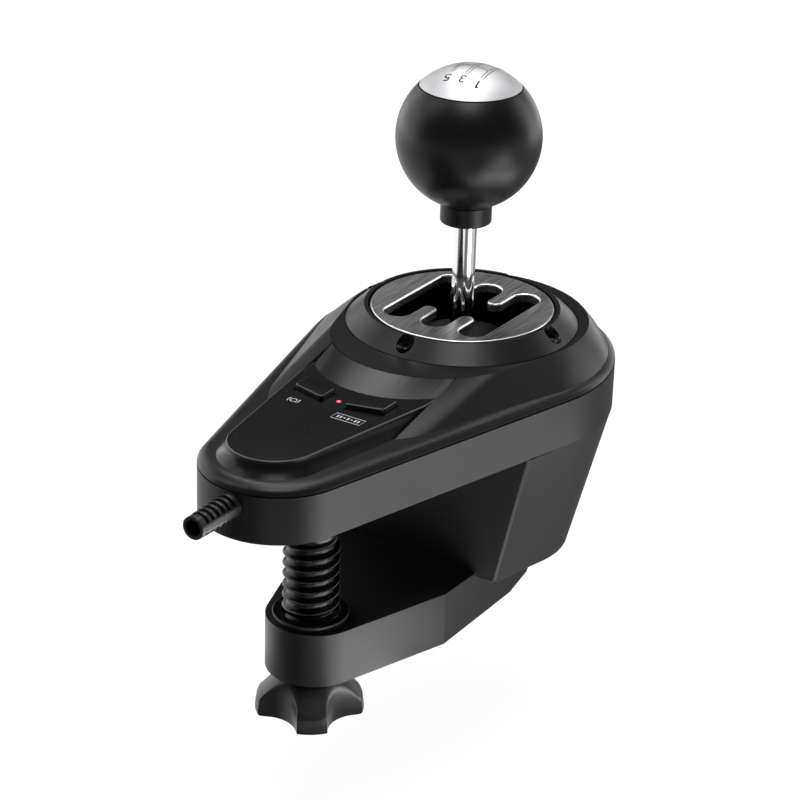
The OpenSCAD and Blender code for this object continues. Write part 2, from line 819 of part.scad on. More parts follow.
// Plan of the rear block, drawn in by a distance; f is 0 at the top and 1 at the foot
function block_outline(f, inset) =
  let (r = block_top_r + (block_foot_r - block_top_r) * f - inset)
  let (c = block_corner_r)
  let (w = block_top_w + (block_foot_w - block_top_w) * f - inset)
  let (y = block_top_y + (block_foot_y - block_top_y) * f + inset)
  let (a = touch([w, y + c - lever_y], r))
  concat(
    [for (i = [0:arc_n]) let (t = a + (180 - 2 * a) * i / arc_n) [r * cos(t), lever_y + r * sin(t)]],
    [for (i = [0:4]) let (t = 180 + 90 * i / 4) [-w + c + c * cos(t), y + c + c * sin(t)]],
    [for (i = [0:4]) let (t = 270 + 90 * i / 4) [w - c + c * cos(t), y + c + c * sin(t)]]
  );

// Ring of the rear block at one height
function block_ring(inset, z) = [for (p = block_outline(z / block_z, inset)) [p[0], p[1], z]];

// Height of the rear block's sloping bottom
function block_floor(y) = block_z + block_tilt * (block_rear_y - y) / (block_rear_y - block_foot_y);

// Ring along the rounded bottom edge; t is 0 at the bottom and 90 at the side
function block_low_ring(t) =
  let (inset = block_edge_r * (1 - sin(t)))
  let (up = block_edge_r * (1 - cos(t)))
  let (foot = block_outline(1, inset))
  [for (i = [0:len(foot) - 1])
    let (p = block_outline((block_floor(foot[i][1]) + up) / block_z, inset)[i])
    [p[0], p[1], block_floor(p[1]) + up]];

// Tapered block that hangs from the round end
module block_body() {
  steps = 3;
  loft(concat([for (k = [0:steps]) block_low_ring(90 * k / steps)], [block_ring(0, 0)]));
}

// Space inside the rear block
module block_hollow() {
  loft([block_ring(block_wall, hollow_z), block_ring(block_wall, past)]);
}

// Plan of the lower arm
module arm_outline() {
  r = arm_nose_r - tuck;
  a = touch([arm_bend_w, arm_nose_back - arm_bend_y], r);
  side = [
    [r * cos(a), arm_nose_back - r * sin(a)], [arm_bend_w, arm_bend_y], [arm_root_w, arm_heel_y]
  ];
  translate([0, arm_nose_back]) circle(r = arm_nose_r);
  polygon(concat(side, [for (k = [len(side) - 1:-1:0]) [-side[k][0], side[k][1]]]));
}

// Lower arm, with its underside rising to the block
module arm_body() {
  intersection() {
    translate([0, 0, arm_bottom]) linear_extrude(arm_t) arm_outline();
    rotate([90, 0, 90]) translate([0, 0, -round_r]) linear_extrude(2 * round_r) polygon([
      [-arm_nose_r * 2, arm_bottom], [arm_bend_y, arm_bottom],
      [arm_heel_y - 18, arm_bottom + 0.1 * arm_rise], [arm_heel_y - 7, arm_bottom + 0.36 * arm_rise],
      [arm_heel_y, arm_heel_z], [arm_heel_y, arm_z], [-arm_nose_r * 2, arm_z]
    ]);
  }
}

// Rear block and lower arm in one moulding
module clamp_frame() {
  color([0.10, 0.10, 0.11]) difference() {
    union() {
      difference() {
        union() {
          block_body();
          arm_body();
        }
        block_hollow();
      }
      for (a = frame_screw_angles) intersection() {
        frame_screw_at(a) translate([0, 0, -floor_t - frame_boss_h]) cylinder(r = boss_r, h = frame_boss_h);
        block_body();
      }
      for (x = [-1, 1], y = bracket_screw_ys) translate([x * bracket_screw_x, lever_y + y, hollow_z - past])
        cylinder(r = boss_r, h = bracket_boss_h + past);
    }
    translate([0, 0, arm_bottom - past]) cylinder(r = screw_r + 1, h = arm_t + 2 * past);
    translate([0, 0, arm_z - nut_depth]) cylinder(r = nut_r + press_gap, h = nut_depth + past);
    for (a = frame_screw_angles) frame_screw_at(a) translate([0, 0, -floor_t - frame_boss_h + 2])
      cylinder(r = m3_hole_r, h = frame_boss_h);
    for (x = [-1, 1], y = bracket_screw_ys)
      translate([x * bracket_screw_x, lever_y + y, bracket_z - bracket_screw_len - 0.5])
      cylinder(r = m3_hole_r, h = bracket_screw_len);
  }
}

// Screws that hold the lower shell down on the rear block
module frame_screws() {
  color([0.7, 0.7, 0.7]) for (a = frame_screw_angles) frame_screw_at(a) screw(frame_screw_len);
}

// Screws that hold the top cover, from below
module cover_screws() {
  color([0.05, 0.05, 0.05]) for (p = cover_screw_places)
    translate([p[0], p[1], screw_sink]) {
      cylinder(r = m3_head_r, h = low_head_h);
      cylinder(r = m3_r, h = band_h);
    }
}

// Plan of the rubber pad on the upper jaw, grown by a clearance
module jaw_outline(grow) {
  r = jaw_corner_r + grow;
  x = jaw_w - jaw_corner_r;
  y0 = jaw_y0 + jaw_corner_r;
  y1 = jaw_y1 - jaw_corner_r;
  side = r - tuck;
  for (s = [-1, 1], y = [y0, y1]) translate([s * x, y]) circle(r = r);
  translate([-x - side, y0]) square([2 * (x + side), y1 - y0]);
  translate([-x, y0 - side]) square([2 * x, y1 - y0 + 2 * side]);
}

module jaw_pad() {
  color([0.08, 0.08, 0.08]) linear_extrude(jaw_t) jaw_outline(0);
}

// Threaded insert that the screw runs in
module screw_nut() {
  color([0.72, 0.60, 0.30]) translate([0, 0, arm_z]) difference() {
    union() {
      translate([0, 0, -nut_depth]) cylinder(r = nut_r, h = nut_depth);
      cylinder(r = nut_flange_r, h = nut_flange_t);
    }
    translate([0, 0, -nut_depth - past]) cylinder(r = screw_r + run_gap, h = nut_depth + nut_flange_t + 2 * past);
  }
}

// Pressure pad that swivels on the screw's tip
module clamp_pad() {
  color([0.15, 0.15, 0.15]) translate([0, 0, screw_top]) difference() {
    rotate_extrude() polygon([[0, 0], [pad_r, 0], [pad_r, pad_h - 1], [pad_r - 1, pad_h], [0, pad_h]]);
    translate([0, 0, -past]) cylinder(r = pad_pivot_r + run_gap, h = pad_pivot_h + past + 0.2);
  }
}

// Clamp screw with a pivot for the pad and a neck for the star knob
module clamp_screw() {
  color([0.12, 0.12, 0.12]) {
    translate([0, 0, star_top]) cylinder(r = screw_r, h = screw_top - fit_gap - star_top);
    translate([0, 0, screw_top - fit_gap - past]) cylinder(r = pad_pivot_r, h = pad_pivot_h + fit_gap + past);
    translate([0, 0, star_top - star_neck_h]) cylinder(r = star_neck_r, h = star_neck_h + past);
  }
}

// Plan of the star knob: a disc with scallops between the lobes
module star_outline() {
  difference() {
    circle(r = star_r);
    for (k = [0:star_lobes - 1]) rotate(star_turn + 360 * (k + 0.5) / star_lobes)
      translate([star_r + scallop_r * scallop_out, 0]) circle(r = scallop_r);
  }
}

// Star knob: lobes that slope down from the hub
module star_knob() {
  color([0.09, 0.09, 0.10]) difference() {
    intersection() {
      translate([0, 0, star_bottom]) linear_extrude(star_h) star_outline();
      rotate_extrude() polygon([
        [0, star_bottom], [star_r - 1, star_bottom], [star_r, star_bottom + 1],
        [star_r - star_draft, star_bottom + star_face_h], [star_hub_r, star_top], [0, star_top]
      ]);
    }
    translate([0, 0, star_top - star_neck_h - 0.5]) cylinder(r = star_neck_r + press_gap, h = star_neck_h + past);
    translate([0, 0, star_bottom - past]) cylinder(r = star_dish_r, h = past + 2);
  }
}

// Cable exit

// Rubber boot with grooves round it and a spine along each side
module cable_boot() {
  color([0.06, 0.06, 0.06]) translate([0, boot_y, boot_z]) rotate([90, 0, 0]) difference() {
    rotate_extrude() polygon([
      [cable_r, -boot_seat - boot_flange_t], [boot_flange_r, -boot_seat - boot_flange_t],
      [boot_flange_r, -boot_seat], [boot_barrel_r, -boot_seat], [boot_barrel_r, 0],
      [boot_r, 0], [boot_tip_r, boot_len], [cable_r, boot_len]
    ]);
    for (k = [0:boot_grooves - 1]) translate([0, 0, boot_first_groove + k * boot_groove_pitch]) difference() {
      cylinder(r = boot_r + past, h = boot_groove_w);
      translate([0, 0, -past]) cylinder(r = cable_r + boot_skin, h = boot_groove_w + 2 * past);
      translate([-2 * boot_r, -boot_spine, -past]) cube([4 * boot_r, 2 * boot_spine, boot_groove_w + 2 * past]);
    }
  }
}

base_shell();
top_cover();
control_panel();
gate_ring();
gate_plate();
ring_screws();
clamp_frame();
frame_screws();
cover_screws();
jaw_pad();
screw_nut();
cable_boot();
panel_board();
tact_switches();
light_pipe();
pivot_bracket();
bracket_screws();
centring_spring();
select_sensor();
select_yoke();
shift_sensor();
shift_pin();
lever_hub();
shift_rod();
dust_shield();
knob_collar();
knob_body();
knob_cap();
button_left();
button_right();
clamp_pad();
clamp_screw();
star_knob();
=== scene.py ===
import json
import math

import bmesh
import bpy
from mathutils import Matrix, Vector

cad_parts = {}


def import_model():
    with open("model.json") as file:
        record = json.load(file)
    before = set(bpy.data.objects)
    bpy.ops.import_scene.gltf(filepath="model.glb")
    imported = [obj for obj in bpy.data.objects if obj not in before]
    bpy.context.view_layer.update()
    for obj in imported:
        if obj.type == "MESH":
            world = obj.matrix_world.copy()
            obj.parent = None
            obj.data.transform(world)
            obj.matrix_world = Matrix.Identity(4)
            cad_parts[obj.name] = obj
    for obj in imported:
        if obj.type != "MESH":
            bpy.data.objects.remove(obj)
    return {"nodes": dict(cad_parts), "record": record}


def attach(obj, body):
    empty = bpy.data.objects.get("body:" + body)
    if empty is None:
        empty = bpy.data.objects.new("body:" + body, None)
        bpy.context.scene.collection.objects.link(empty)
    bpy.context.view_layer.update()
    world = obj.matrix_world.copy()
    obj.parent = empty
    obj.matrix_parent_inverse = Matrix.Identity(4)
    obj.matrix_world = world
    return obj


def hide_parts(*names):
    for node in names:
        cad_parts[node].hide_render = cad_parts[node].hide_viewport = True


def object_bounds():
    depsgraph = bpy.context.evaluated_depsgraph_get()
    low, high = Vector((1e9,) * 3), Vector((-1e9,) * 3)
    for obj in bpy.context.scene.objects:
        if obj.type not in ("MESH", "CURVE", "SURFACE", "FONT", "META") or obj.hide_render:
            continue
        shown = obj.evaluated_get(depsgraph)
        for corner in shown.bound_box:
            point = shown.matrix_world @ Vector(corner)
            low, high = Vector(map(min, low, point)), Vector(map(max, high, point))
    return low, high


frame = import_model()
cad_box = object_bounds()
nodes = frame["nodes"]
body_of = {n: b for b, ns in frame["record"]["behaviour"]["bodies"].items() for n in ns}
slot_of = {s["node"]: s["material_slot"] for s in frame["record"]["subparts"]}
scene = bpy.context.scene
MM = 0.001

# Sizes of the CAD part that the looks are built on, in mm
LEVER_Y = 90.6
PLATE_Z = 33.8
PLATE_R = 32.0
RING_SCREW_AT = 36.3
DOME_FOOT_Z = 17.0
LEDGE_Z = 20.0
DOME_Z = 28.3
DOME_FRONT_Y, DOME_FRONT_RUN = 31.6, 41.8
DOME_FRONT_R, DOME_FRONT_GROWTH = 33.5, 2.9
DOME_REAR_R, DOME_REAR_LOSS = 53.3, 10.7
DOME_REAR_RUN, DOME_REAR_CURVE = 4.0, 1.3
PANEL_Z = 25.0
PANEL_FLAT_Y = 33.0
BUTTONS_X, BUTTONS_Y = 18.5, (9.0, 24.5)
BOARD_Z = 18.6
LED_Y = 14.5
LED_R = 0.9
KNOB_Z = 95.6
KNOB_R = 25.0
KNOB_FOOT_Z, KNOB_FOOT_R = 72.3, 8.9
CAP_Z = 113.2
ROD_R, ROD_Z = 4.0, (-9.0, 87.6)
ARM_Z = -48.0
ARM_UNDER_Z = -60.0
ARM_ROOT_Y = 56.0
NUT_SEAT_R = 15.0
BEND = (29.4, 38.3)
STAR_TOP = -70.4
STAR_H = 14.0
STAR_TURN = -52.5
STAR_FOOT_R, STAR_FOOT_ROUND = 17.1, 1.5
STAR_BROW = ((18.35, 3.5), (18.1, 5.3), (17.75, 6.4), (17.15, 7.3), (16.2, 8.3))
STAR_NECK_R = 11.0
SCALLOP_R = 11.0
SCALLOP_AT = 23.0
STAR_DISH_R, STAR_DISH_DEEP = 9.0, 2.0
STAR_CRISP = 1.4
SCREW_TOP = -13.3
THREAD_TOP = -17.5
THREAD_PITCH = 4.0
THREAD_R = 9.7
THREAD_DEPTH = 1.9
CLAMP_TRAVEL = 32.0


# Materials


class Graph:
    """A material's node tree with short ways to add nodes and links."""

    def __init__(self, name):
        self.material = bpy.data.materials.new(name)
        self.material.use_nodes = True
        self.tree = self.material.node_tree
        self.tree.nodes.clear()
        self.out = self.add("ShaderNodeOutputMaterial")

    def add(self, kind, **values):
        node = self.tree.nodes.new(kind)
        for key, value in values.items():
            setattr(node, key, value)
        return node

    def link(self, a, b):
        self.tree.links.new(a, b)

    def principled(self, colour, rough, metallic=0.0, spec=0.5):
        node = self.add("ShaderNodeBsdfPrincipled")
        node.inputs["Base Color"].default_value = (*colour, 1)
        node.inputs["Roughness"].default_value = rough
        node.inputs["Metallic"].default_value = metallic
        node.inputs["Specular IOR Level"].default_value = spec
        self.link(node.outputs[0], self.out.inputs["Surface"])
        return node

    def coords(self, scale=(1, 1, 1)):
        place = self.add("ShaderNodeTexCoord")
        mapping = self.add("ShaderNodeMapping")
        mapping.inputs["Scale"].default_value = scale
        self.link(place.outputs["Object"], mapping.inputs["Vector"])
        return mapping.outputs[0]

    def noise(self, vector, scale, detail=2.0, rough=0.5):
        node = self.add("ShaderNodeTexNoise")
        node.inputs["Scale"].default_value = scale
        node.inputs["Detail"].default_value = detail
        node.inputs["Roughness"].default_value = rough
        self.link(vector, node.inputs["Vector"])
        return node.outputs["Fac"]

    def spread(self, value, low, high, start=0.3, end=0.7):
        node = self.add("ShaderNodeMapRange")
        node.inputs["From Min"].default_value = start
        node.inputs["From Max"].default_value = end
        node.inputs["To Min"].default_value = low
        node.inputs["To Max"].default_value = high
        self.link(value, node.inputs["Value"])
        return node.outputs[0]

    def blend(self, factor, a, b):
        node = self.add("ShaderNodeMix", data_type="RGBA")
        node.inputs["A"].default_value = (*a, 1)
        node.inputs["B"].default_value = (*b, 1)
        self.link(factor, node.inputs["Factor"])
        return node.outputs["Result"]

    def bump(self, height, shader, strength, distance):
        node = self.add("ShaderNodeBump")
        node.inputs["Strength"].default_value = strength
        node.inputs["Distance"].default_value = distance
        self.link(height, node.inputs["Height"])
        self.link(node.outputs[0], shader.inputs["Normal"])


def plastic(name, colour, rough, spec=0.5, grain=0.25, grain_mm=0.35):
    """Moulded plastic with a fine spark-eroded grain and slightly uneven gloss."""
    g = Graph(name)
    shader = g.principled(colour, rough, 0.0, spec)
    place = g.coords()
    fine = g.noise(place, 1000 / grain_mm, 1.0)
    broad = g.noise(place, 40.0, 3.0)
    g.link(g.spread(broad, rough - 0.02, rough + 0.02), shader.inputs["Roughness"])
    g.bump(fine, shader, grain, 0.02 * MM)
    return g.material


def metal(name, colour, rough, stretch=(1, 1, 1), scale=60.0, strength=0.0, tint=0.0, uneven=0.15):
    """Bare metal. A stretch draws the noise out into brush lines."""
    g = Graph(name)
    shader = g.principled(colour, rough, 1.0)
    lines = g.noise(g.coords(stretch), scale, 4.0, 0.6)
    g.link(g.spread(lines, rough * (1 - uneven), rough * (1 + uneven)), shader.inputs["Roughness"])
    if tint:
        dark = [c * (1 - tint) for c in colour]
        light = [c * (1 + tint) for c in colour]
        g.link(g.blend(g.spread(lines, 0.0, 1.0), dark, light), shader.inputs["Base Color"])
    if strength:
        g.bump(lines, shader, strength, 0.05 * MM)
    return g.material


def lit_lens(name, centre, radius, core, edge, strength):
    """A small lamp's lens, pale in the middle and coloured towards its edge."""
    g = Graph(name)
    shader = g.principled(edge, 0.25)
    away = g.add("ShaderNodeVectorMath", operation="DISTANCE")
    g.link(g.coords(), away.inputs[0])
    away.inputs[1].default_value = [c * MM for c in centre]
    outward = g.spread(away.outputs["Value"], 0.0, 1.0, 0.15 * radius * MM, 0.75 * radius * MM)
    g.link(g.blend(outward, core, edge), shader.inputs["Emission Color"])
    shader.inputs["Emission Strength"].default_value = strength
    return g.material


BLACK = (0.012, 0.012, 0.0125)
looks = {
    "shell_plastic": plastic("shell_plastic", BLACK, 0.42, 0.21),
    "cover_plastic": plastic("cover_plastic", BLACK, 0.33, 0.21),
    "panel_plastic": plastic("panel_plastic", (0.007, 0.007, 0.0073), 0.28, 0.21, 0.1),
    "button_plastic": plastic("button_plastic", (0.007, 0.007, 0.0073), 0.28, 0.21, 0.1),
    "knob_plastic": plastic("knob_plastic", (0.005, 0.005, 0.0053), 0.36, 0.24, 0.05),
    "nut_plastic": plastic("nut_plastic", (0.03, 0.03, 0.031), 0.36, 0.35, 0.15),
    "shield_plastic": plastic("shield_plastic", (0.006, 0.006, 0.006), 0.5, 0.3, 0.05),
    "switch_plastic": plastic("switch_plastic", (0.05, 0.05, 0.06), 0.5),
    "rubber": plastic("rubber", (0.008, 0.008, 0.008), 0.34, 0.4, 0.2),
    "board": plastic("board", (0.03, 0.2, 0.08), 0.4),
    "gate_metal": metal("gate_metal", (0.5, 0.5, 0.51), 0.34, (1, 0.025, 1), 2600.0, 0.8, 0.6),
    "chrome": metal("chrome", (0.86, 0.86, 0.87), 0.09, uneven=0.03),
    "cap_metal": metal("cap_metal", (0.55, 0.55, 0.56), 0.52),
    "black_steel": plastic("black_steel", (0.004, 0.004, 0.0042), 0.26, 0.22, 0.08),
    "plain_steel": metal("plain_steel", (0.5, 0.5, 0.51), 0.35),
    "red_lens": lit_lens(
        "red_lens", (0, LED_Y, PANEL_Z + 0.2), LED_R, (1.0, 0.75, 0.78), (0.8, 0.02, 0.06), 0.8,
    ),
}
# A lighter metal laid on the gate plate's rim and slot edges as a painted highlight
painted_gate_highlight = metal("painted_gate_highlight", (0.95, 0.95, 0.95), 0.32)
# A lighter plastic laid on the panel's and buttons' top edges as a painted highlight
painted_edge_highlight = plastic("painted_edge_highlight", (0.09, 0.09, 0.091), 0.4, 0.3, 0.1)
# A lighter plastic on the nut's rounded edges as a painted highlight
painted_nut_highlight = plastic("painted_nut_highlight", (0.035, 0.035, 0.036), 0.4, 0.3, 0.1)
# A lighter plastic laid along the thread's crests as a painted highlight
painted_crest_highlight = plastic("painted_crest_highlight", (0.06, 0.06, 0.061), 0.3, 0.5, 0.05)
engraving = plastic("engraving", (0.02, 0.02, 0.02), 0.5, 0.15, 0.05)
print_white = plastic("print_white", (0.55, 0.55, 0.55), 0.5, 0.3, 0.05)


# Ways to make pieces


def place(name, mesh, body, slot, *materials):
    """Links a mesh as a piece of the object that rides on a body."""
    piece = bpy.data.objects.new(name, mesh)
    scene.collection.objects.link(piece)
    for m in materials or (looks[slot],):
        mesh.materials.append(m)
    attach(piece, body)
    return piece


def show_for(node, name, mesh, *materials):
    """Places a mesh that is shown instead of a CAD node."""
    piece = place(name, mesh, body_of[node], slot_of[node], *materials)
    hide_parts(node)
    return piece


def smooth(mesh, angle):
    mesh.polygons.foreach_set("use_smooth", [True] * len(mesh.polygons))
    mesh.set_sharp_from_angle(angle=math.radians(angle))


def build(name, verts, faces, sharp=30):
    """A smooth-shaded mesh from points in mm."""
    mesh = bpy.data.meshes.new(name)
    mesh.from_pydata([Vector(v) * MM for v in verts], [], faces)
    mesh.validate()
    smooth(mesh, sharp)
    return mesh


def anywhere(middle, direction):
    return True


def cleaned(node, weld=0.002):
    """A node's mesh for editing, with points closer than weld mm merged and its flat faces joined."""
    bm = bmesh.new()
    bm.from_mesh(nodes[node].data)
    bmesh.ops.remove_doubles(bm, verts=bm.verts, dist=weld * MM)
    bmesh.ops.dissolve_limit(bm, angle_limit=math.radians(0.4), verts=bm.verts, edges=bm.edges)
    return bm


def skin(node, *rounds, materials=(), crease=None, weld=0.002):
    """A copy of a CAD node with rounded edges.

    Each round is a width in mm, a test that picks edges by their middle and direction, and the
    number of the material on the rounded strip. The crease test picks flatter edges that stay crisp.
    """
    mesh = bpy.data.meshes.new(node + "_skin")
    bm = cleaned(node, weld)
    for width, test, number in rounds:
        picked = []
        for e in bm.edges:
            if not e.is_manifold or e.calc_face_angle(0.0) < math.radians(33):
                continue
            a, b = (v.co / MM for v in e.verts)
            if test((a + b) / 2, (b - a).normalized()):
                picked.append(e)
        bmesh.ops.bevel(
            bm, geom=picked, offset=width * MM, segments=4, profile=0.5, affect="EDGES",
            clamp_overlap=True, miter_outer="ARC", material=number,
        )
    bmesh.ops.dissolve_degenerate(bm, dist=0.003 * MM, edges=bm.edges)
    bm.to_mesh(mesh)
    bm.free()
    smooth(mesh, 30)
    for e in mesh.edges if crease else ():
        a, b = (mesh.vertices[i].co / MM for i in e.vertices)
        if crease((a + b) / 2, (b - a).normalized()):
            e.use_edge_sharp = True
    piece = show_for(node, node + "_skin", mesh, *materials)
    piece.modifiers.new("normals", "WEIGHTED_NORMAL").keep_sharp = True
    return piece


def turned(profile, centre, steps=160):
    """Points and faces of a turned shape about a vertical axis, from (radius, height) pairs in mm."""
    verts, faces, rows = [], [], []
    for r, z in profile:
        if r < 1e-6:
            rows.append([len(verts)] * steps)
            verts.append((*centre, z))
            continue
        rows.append(list(range(len(verts), len(verts) + steps)))
        for i in range(steps):
            t = 2 * math.pi * i / steps
            verts.append((centre[0] + r * math.cos(t), centre[1] + r * math.sin(t), z))
    for low, high in zip(rows, rows[1:]):
        for i in range(steps):
            j = (i + 1) % steps
            faces.append(list(dict.fromkeys([low[i], low[j], high[j], high[i]])))
    return verts, faces


def arc(cx, cy, r, a0, a1, n):
    turns = [math.radians(a0 + (a1 - a0) * i / n) for i in range(n + 1)]
    return [(cx + r * math.cos(t), cy + r * math.sin(t)) for t in turns]


def strip(line, width, closed=False):
    """Left and right edges of a line of even width in plan."""
    left, right = [], []
    n = len(line)
    for i, (x, y) in enumerate(line):
        a = Vector(line[(i - 1) % n] if closed or i else line[i])
        b = Vector(line[(i + 1) % n] if closed or i < n - 1 else line[i])
        side = (b - a).normalized().orthogonal() * (width / 2)
        left.append((x + side.x, y + side.y))
        right.append((x - side.x, y - side.y))
    return left, right


def ribbons(name, lines, width, lift, sharp=60):
    """Flat strokes laid on a surface; lift gives the height over a plan point."""
    verts, faces = [], []
    for line, closed in lines:
        left, right = strip(line, width, closed)
        first, n = len(verts), len(line)
        for p, q in zip(left, right):
            verts += [(*p, lift(*p)), (*q, lift(*q))]
        for i in range(n if closed else n - 1):
            a, b = first + 2 * i, first + 2 * ((i + 1) % n)
            faces.append((a, a + 1, b + 1, b))
    mesh = build(name, verts, faces, sharp)
    if sum(f.normal.z for f in mesh.polygons) < 0:
        mesh.flip_normals()
    return mesh


# Housing and clamp


def arm_edge(m, d):
    rim = abs(m.z - ARM_Z) < 0.3 or m.z < ARM_UNDER_Z
    return rim and m.y < ARM_ROOT_Y and math.hypot(m.x, m.y) > NUT_SEAT_R


def block_edge(m, d):
    return m.y > ARM_ROOT_Y or m.z > ARM_Z + 1


def bend_edge(m, d):
    return abs(abs(m.x) - BEND[0]) < 0.3 and abs(m.y - BEND[1]) < 0.3 and abs(d.z) > 0.9


def ramp_foot(m, d):
    return abs(m.z - PANEL_Z) < 0.05 and abs(d.z) < 0.05


def panel_edge(m, d):
    by_buttons = abs(m.x) < BUTTONS_X and BUTTONS_Y[0] < m.y < BUTTONS_Y[1]
    return abs(m.z - PANEL_Z) < 0.05 and m.y < PANEL_FLAT_Y and not by_buttons


skin("clamp_frame", (1.6, arm_edge, 0), (0.6, block_edge, 0), crease=bend_edge, weld=0.3)


def even(line, step):
    """A closed line cut into even steps."""
    out = []
    for a, b in zip(line, line[1:] + line[:1]):
        n = max(1, round((b - a).length / step))
        out += [a.lerp(b, i / n) for i in range(n)]
    return out


def blunt(line, reach):
    """A closed line with its corners rounded off."""
    n, near = len(line), range(-reach, reach + 1)
    return [sum((line[(i + k) % n] for k in near), Vector((0, 0))) / len(near) for i in range(n)]


def button(node, edge):
    """A push button on its CAD outline, with round corners and a round top edge that carries a
    painted highlight.
    """
    bm = cleaned(node)
    top = max((f for f in bm.faces if f.normal.z > 0.99), key=lambda f: f.calc_center_median().z)
    line = [v.co.xy / MM for v in top.verts]
    high = top.verts[0].co.z / MM
    low = min(v.co.z for v in bm.verts) / MM
    bm.free()
    line = blunt(blunt(even(line, 0.2), 5), 5)
    n = len(line)
    turns = [math.radians(15 * i) for i in range(7)]
    rows = [(0, low)] + [(edge * (1 - math.cos(t)), high - edge * (1 - math.sin(t))) for t in turns]
    verts, faces, pale = [], [], []
    for inset, z in rows:
        for i, at in enumerate(line):
            along = (line[(i + 1) % n] - line[i - 1]).normalized()
            verts.append((at.x - along.y * inset, at.y + along.x * inset, z))
    for k in range(len(rows) - 1):
        for i in range(n):
            j = (i + 1) % n
            faces.append((k * n + i, k * n + j, (k + 1) * n + j, (k + 1) * n + i))
            # Rows 3 and 4 of the round take the painted highlight
            pale.append(k in (3, 4))
    faces += [tuple(range(n - 1, -1, -1)), tuple(range(len(verts) - n, len(verts)))]
    mesh = build(node + "_skin", verts, faces)
    for face, light in zip(mesh.polygons, pale):
        face.material_index = int(light)
    show_for(node, node + "_skin", mesh, looks["button_plastic"], painted_edge_highlight)


button("button_left", 0.5)
button("button_right", 0.5)


def dome_gap(x, y, z):
    """Distance in mm from the dome's outline at a height, less than 0 inside it.

    The outline goes round two circles, a front one that slopes back and a rear one that shrinks.
    """
    up = (z - LEDGE_Z) / (DOME_Z - LEDGE_Z)
    front_y, front_r = DOME_FRONT_Y + DOME_FRONT_RUN * up, DOME_FRONT_R + DOME_FRONT_GROWTH * up
    rear_y = LEVER_Y + DOME_REAR_RUN * up
    rise = (z - DOME_FOOT_Z) / (DOME_Z - DOME_FOOT_Z)
    rear_r = DOME_REAR_R - DOME_REAR_LOSS * rise ** DOME_REAR_CURVE
    lean = math.asin((rear_r - front_r) / (rear_y - front_y))
    x, y = abs(x), y - front_y
    along = x * math.sin(lean) + y * math.cos(lean)
    if along < 0:
        return math.hypot(x, y) - front_r
    if along > (rear_y - front_y) * math.cos(lean):
        return math.hypot(x, y + front_y - rear_y) - rear_r
    return x * math.cos(lean) - y * math.sin(lean) - front_r


def dome_slope(point):
    """The dome's true normal at a point in m."""
    x, y, z = point / MM
    z = min(DOME_Z - 0.1, max(LEDGE_Z + 0.1, z))
    e = 0.05
    return Vector((
        dome_gap(x + e, y, z) - dome_gap(x - e, y, z),
        dome_gap(x, y + e, z) - dome_gap(x, y - e, z),
        dome_gap(x, y, z + e) - dome_gap(x, y, z - e),
    )).normalized()


def true_dome(piece):
    """Shades the cover's flat facets on the dome as the smooth form that they stand for."""
    bpy.context.view_layer.update()
    seen = piece.evaluated_get(bpy.context.evaluated_depsgraph_get()).to_mesh()
    normals = [n.vector.copy() for n in seen.corner_normals]
    mesh = piece.data
    for face in mesh.polygons:
        x, y, z = face.center / MM
        if not LEDGE_Z + 0.05 < z < DOME_Z or abs(dome_gap(x, y, z)) >= 0.6:
            continue
        if face.normal.dot(dome_slope(face.center)) > 0.94:
            for i in face.loop_indices:
                normals[i] = dome_slope(mesh.vertices[mesh.loops[i].vertex_index].co)
    piece.modifiers.clear()
    mesh.normals_split_custom_set(normals)


true_dome(skin("top_cover", (0.3, anywhere, 0)))
# The panel's outline edge strip takes the lighter plastic, a painted highlight
skin(
    "control_panel", (0.3, panel_edge, 1), materials=(looks["panel_plastic"], painted_edge_highlight),
    crease=ramp_foot,
)
# The nut's rounded edges take the lighter strip, a painted highlight
skin("screw_nut", (0.4, anywhere, 1), materials=(looks["black_steel"], painted_nut_highlight))
for node, width in (
    ("base_shell", 0.25), ("cable_boot", 0.2), ("clamp_pad", 0.5), ("gate_ring", 0.25),
    ("jaw_pad", 0.3), ("knob_collar", 0.5),
):
    skin(node, (width, anywhere, 0))


def star():
    """The star knob with rounded lobes: a turned profile held in by four scallops."""
    low = STAR_TOP - STAR_H
    foot = arc(STAR_FOOT_R, low + STAR_FOOT_ROUND, STAR_FOOT_ROUND, -90, 0, 6)
    brow = [(r, low + z) for r, z in STAR_BROW]
    (r, z), n = STAR_BROW[-1], 8
    slope = [
        (STAR_NECK_R + (r - STAR_NECK_R) * (1 - i / n), low + z + (STAR_H - z) * i / n)
        for i in range(1, n + 1)
    ]
    profile = [(STAR_DISH_R, low + STAR_DISH_DEEP), (STAR_DISH_R, low)] + foot + brow + slope
    steps, verts, faces = 288, [], []
    for r, z in profile:
        for i in range(steps):
            t = 2 * math.pi * i / steps
            off = (t - math.radians(STAR_TURN)) % (math.pi / 2) - math.pi / 4
            side = SCALLOP_R ** 2 - (SCALLOP_AT * math.sin(off)) ** 2
            held = r
            if side > 0 and r > STAR_DISH_R:
                room = SCALLOP_AT * math.cos(off) - math.sqrt(side) - r
                held -= math.log(1 + math.exp(-STAR_CRISP * room)) / STAR_CRISP
            verts.append((held * math.cos(t), held * math.sin(t), z))
    for k in range(len(profile) - 1):
        for i in range(steps):
            j = (i + 1) % steps
            faces.append((k * steps + i, k * steps + j, (k + 1) * steps + j, (k + 1) * steps + i))
    faces += [tuple(range(steps - 1, -1, -1)), tuple(range(len(verts) - steps, len(verts)))]
    return build("star_knob_skin", verts, faces, 50)


show_for("star_knob", "star_knob_skin", star())


